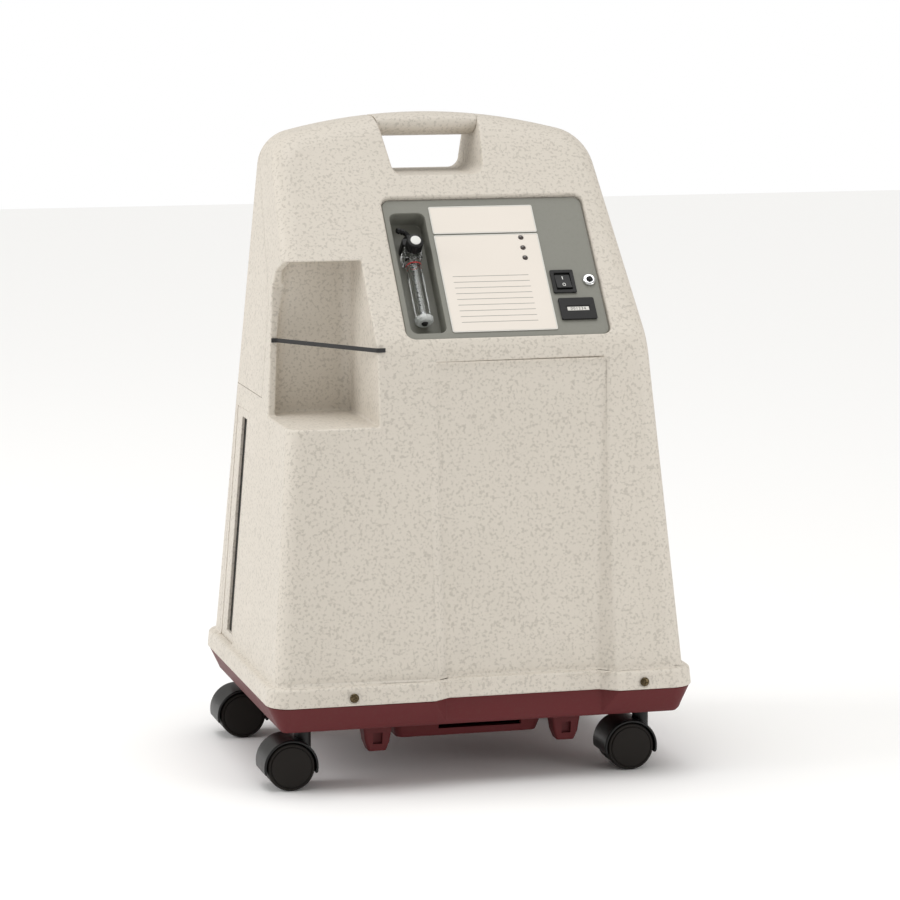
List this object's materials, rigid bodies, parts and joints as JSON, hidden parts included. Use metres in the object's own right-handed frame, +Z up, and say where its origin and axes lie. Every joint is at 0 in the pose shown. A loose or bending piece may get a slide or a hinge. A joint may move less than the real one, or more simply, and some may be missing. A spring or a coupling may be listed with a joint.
{
  "type": "oxygen concentrator",
  "caption": "Upright oxygen concentrator cabinet with a raked control panel, bottle recess, carry bar and hooded twin-wheel casters.",
  "frame": {"origin": "on the floor, under the centre of the cabinet's lip", "axes": "+X to the right seen from the front, +Y to the back, +Z up"},
  "size_m": [0.456, 0.361, 0.68],
  "materials": {
    "housing_beige": "fine-textured moulded plastic",
    "pan_burgundy": "satin moulded plastic",
    "panel_grey": "satin moulded plastic",
    "label_film": "smooth printed film, bare",
    "black_plastic": "satin black plastic",
    "clear_plastic": "polished clear plastic",
    "lamp_lens": "dark unlit lens",
    "chrome": "polished",
    "screw_brass": "dark passivated",
    "wheel_rubber": "matte",
    "caster_hood": "satin",
    "steel": "plain",
    "alloy": "cast and drawn",
    "copper_tube": "drawn tube",
    "filter_foam": "open-cell foam",
    "board_green": "circuit board",
    "strap_rubber": "flat elastic strap"
  },
  "bodies": {
    "cabinet": {"base_pan": "pan_burgundy", "bottle_strap": "strap_rubber", "breaker_body": "chrome", "carry_handle": "housing_beige", "chassis_plate": "steel", "compressor_body": "alloy", "compressor_head_left": "alloy", "compressor_head_right": "alloy", "control_board": "board_green", "control_panel": "panel_grey", "exhaust_muffler": "black_plastic", "fan_frame": "black_plastic", "flowmeter_body": "clear_plastic", "front_housing": "housing_beige", "heat_exchanger": "copper_tube", "hour_meter": "black_plastic", "indicator_lamp_1": "lamp_lens", "indicator_lamp_2": "lamp_lens", "indicator_lamp_3": "lamp_lens", "intake_filter": "black_plastic", "label_lower": "label_film", "label_upper": "label_film", "oxygen_outlet": "black_plastic", "power_inlet": "black_plastic", "product_tank": "alloy", "rear_housing": "housing_beige", "screw_front_left": "screw_brass", "screw_front_right": "screw_brass", "screw_rear_left": "screw_brass", "screw_rear_right": "screw_brass", "sieve_bed_left": "alloy", "sieve_bed_right": "alloy", "switch_bezel": "black_plastic", "valve_manifold": "alloy"},
    "caster_front_left_swivel": {"caster_front_left_fork": "caster_hood"},
    "caster_front_left_wheels": {"caster_front_left_axle": "steel", "caster_front_left_wheel_outer": "wheel_rubber", "caster_front_left_wheel_inner": "wheel_rubber"},
    "caster_front_right_swivel": {"caster_front_right_fork": "caster_hood"},
    "caster_front_right_wheels": {"caster_front_right_axle": "steel", "caster_front_right_wheel_outer": "wheel_rubber", "caster_front_right_wheel_inner": "wheel_rubber"},
    "caster_rear_left_swivel": {"caster_rear_left_fork": "caster_hood"},
    "caster_rear_left_wheels": {"caster_rear_left_axle": "steel", "caster_rear_left_wheel_outer": "wheel_rubber", "caster_rear_left_wheel_inner": "wheel_rubber"},
    "caster_rear_right_swivel": {"caster_rear_right_fork": "caster_hood"},
    "caster_rear_right_wheels": {"caster_rear_right_axle": "steel", "caster_rear_right_wheel_outer": "wheel_rubber", "caster_rear_right_wheel_inner": "wheel_rubber"},
    "power_rocker": {"switch_rocker": "black_plastic"},
    "breaker_plunger": {"breaker_button": "black_plastic"},
    "flow_valve": {"flow_knob": "black_plastic"},
    "float_ball": {"flow_float": "black_plastic"},
    "fan_wheel": {"fan_rotor": "black_plastic"},
    "filter_left": {"filter_frame_left": "housing_beige", "filter_foam_left": "filter_foam"},
    "filter_right": {"filter_frame_right": "housing_beige", "filter_foam_right": "filter_foam"}
  },
  "joints": [
    {"name": "caster_front_left_swivel", "type": "hinge", "parent": "cabinet", "child": "caster_front_left_swivel", "pos_m": [-0.1825, -0.124, 0.07], "axis": [0, 0, 1], "continuous": true},
    {"name": "caster_front_left_roll", "type": "hinge", "parent": "caster_front_left_swivel", "child": "caster_front_left_wheels", "pos_m": [-0.199, -0.124, 0.025], "axis": [0, 1, 0], "continuous": true},
    {"name": "caster_front_right_swivel", "type": "hinge", "parent": "cabinet", "child": "caster_front_right_swivel", "pos_m": [0.1825, -0.124, 0.07], "axis": [0, 0, 1], "continuous": true},
    {"name": "caster_front_right_roll", "type": "hinge", "parent": "caster_front_right_swivel", "child": "caster_front_right_wheels", "pos_m": [0.166, -0.124, 0.025], "axis": [0, 1, 0], "continuous": true},
    {"name": "caster_rear_left_swivel", "type": "hinge", "parent": "cabinet", "child": "caster_rear_left_swivel", "pos_m": [-0.1825, 0.124, 0.07], "axis": [0, 0, 1], "continuous": true},
    {"name": "caster_rear_left_roll", "type": "hinge", "parent": "caster_rear_left_swivel", "child": "caster_rear_left_wheels", "pos_m": [-0.199, 0.124, 0.025], "axis": [0, 1, 0], "continuous": true},
    {"name": "caster_rear_right_swivel", "type": "hinge", "parent": "cabinet", "child": "caster_rear_right_swivel", "pos_m": [0.1825, 0.124, 0.07], "axis": [0, 0, 1], "continuous": true},
    {"name": "caster_rear_right_roll", "type": "hinge", "parent": "caster_rear_right_swivel", "child": "caster_rear_right_wheels", "pos_m": [0.166, 0.124, 0.025], "axis": [0, 1, 0], "continuous": true},
    {"name": "power_switch", "type": "hinge", "parent": "cabinet", "child": "power_rocker", "pos_m": [0.1108, -0.07071, 0.50916], "axis": [1, 0, 0], "range_deg": [0, 18]},
    {"name": "breaker_reset", "type": "slide", "parent": "cabinet", "child": "breaker_plunger", "axis": [0, -0.757, 0.6534], "range_m": [0, 0.003]},
    {"name": "flow_valve_turn", "type": "hinge", "parent": "cabinet", "child": "flow_valve", "pos_m": [-0.043, -0.03942, 0.54556], "axis": [0, -0.757, 0.6534], "range_deg": [0, 720]},
    {"name": "flow_float_rise", "type": "slide", "parent": "cabinet", "child": "float_ball", "axis": [0, 0.6534, 0.757], "range_m": [0, 0.055]},
    {"name": "fan_spin", "type": "hinge", "parent": "cabinet", "child": "fan_wheel", "pos_m": [0, 0.01519, 0.298], "axis": [0, 1, 0], "continuous": true},
    {"name": "filter_pull_left", "type": "slide", "parent": "cabinet", "child": "filter_left", "axis": [-1, 0, 0], "range_m": [0, 0.04]},
    {"name": "filter_pull_right", "type": "slide", "parent": "cabinet", "child": "filter_right", "axis": [1, 0, 0], "range_m": [0, 0.04]}
  ]
}
